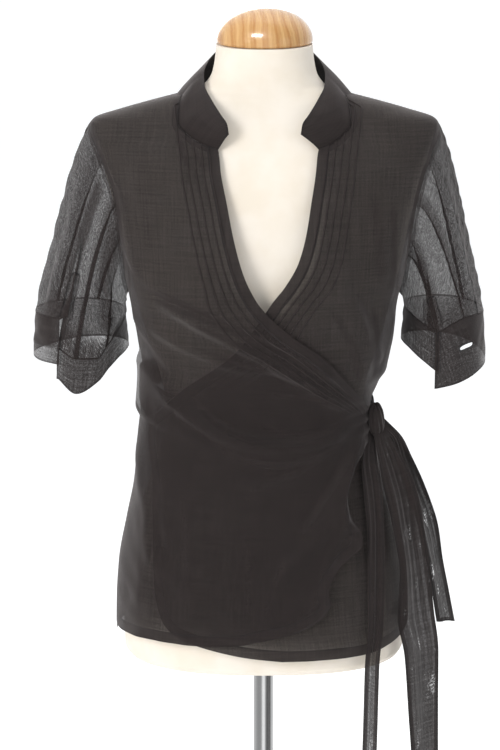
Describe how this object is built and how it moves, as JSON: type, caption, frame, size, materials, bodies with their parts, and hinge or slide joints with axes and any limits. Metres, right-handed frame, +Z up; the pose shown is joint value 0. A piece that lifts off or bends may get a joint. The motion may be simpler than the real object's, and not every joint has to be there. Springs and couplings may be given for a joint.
{
  "type": "wrap blouse on a limbless dress form",
  "caption": "Short-sleeved semi-sheer wrap blouse with a stand collar, pintucks and a tie at the waist, worn by a limbless dress form on a round stand.",
  "frame": {"origin": "centre of the stand's underside, on the floor", "axes": "+Z up, the front faces -Y, +X is the wearer's left"},
  "size_m": [0.5414, 0.35, 1.5573],
  "materials": {
    "voile": "black semi-sheer cotton voile, plain weave",
    "form_jersey": "cream stretch jersey over a firm form",
    "cap_wood": "honey-coloured turned wood under clear satin lacquer",
    "stand_chrome": "polished chrome"
  },
  "bodies": {
    "root": {"back": "voile", "front_right": "voile", "front_left": "voile", "collar": "voile", "sleeve_right": "voile", "sleeve_left": "voile", "cuff_right": "voile", "cuff_left": "voile", "sash_back": "voile", "sash_knot": "voile", "tie_narrow": "voile", "tie_wide": "voile", "tie_short": "voile", "form_torso": "form_jersey", "form_neck_cap": "cap_wood", "form_pole": "stand_chrome", "form_base": "stand_chrome"}
  },
  "joints": []
}
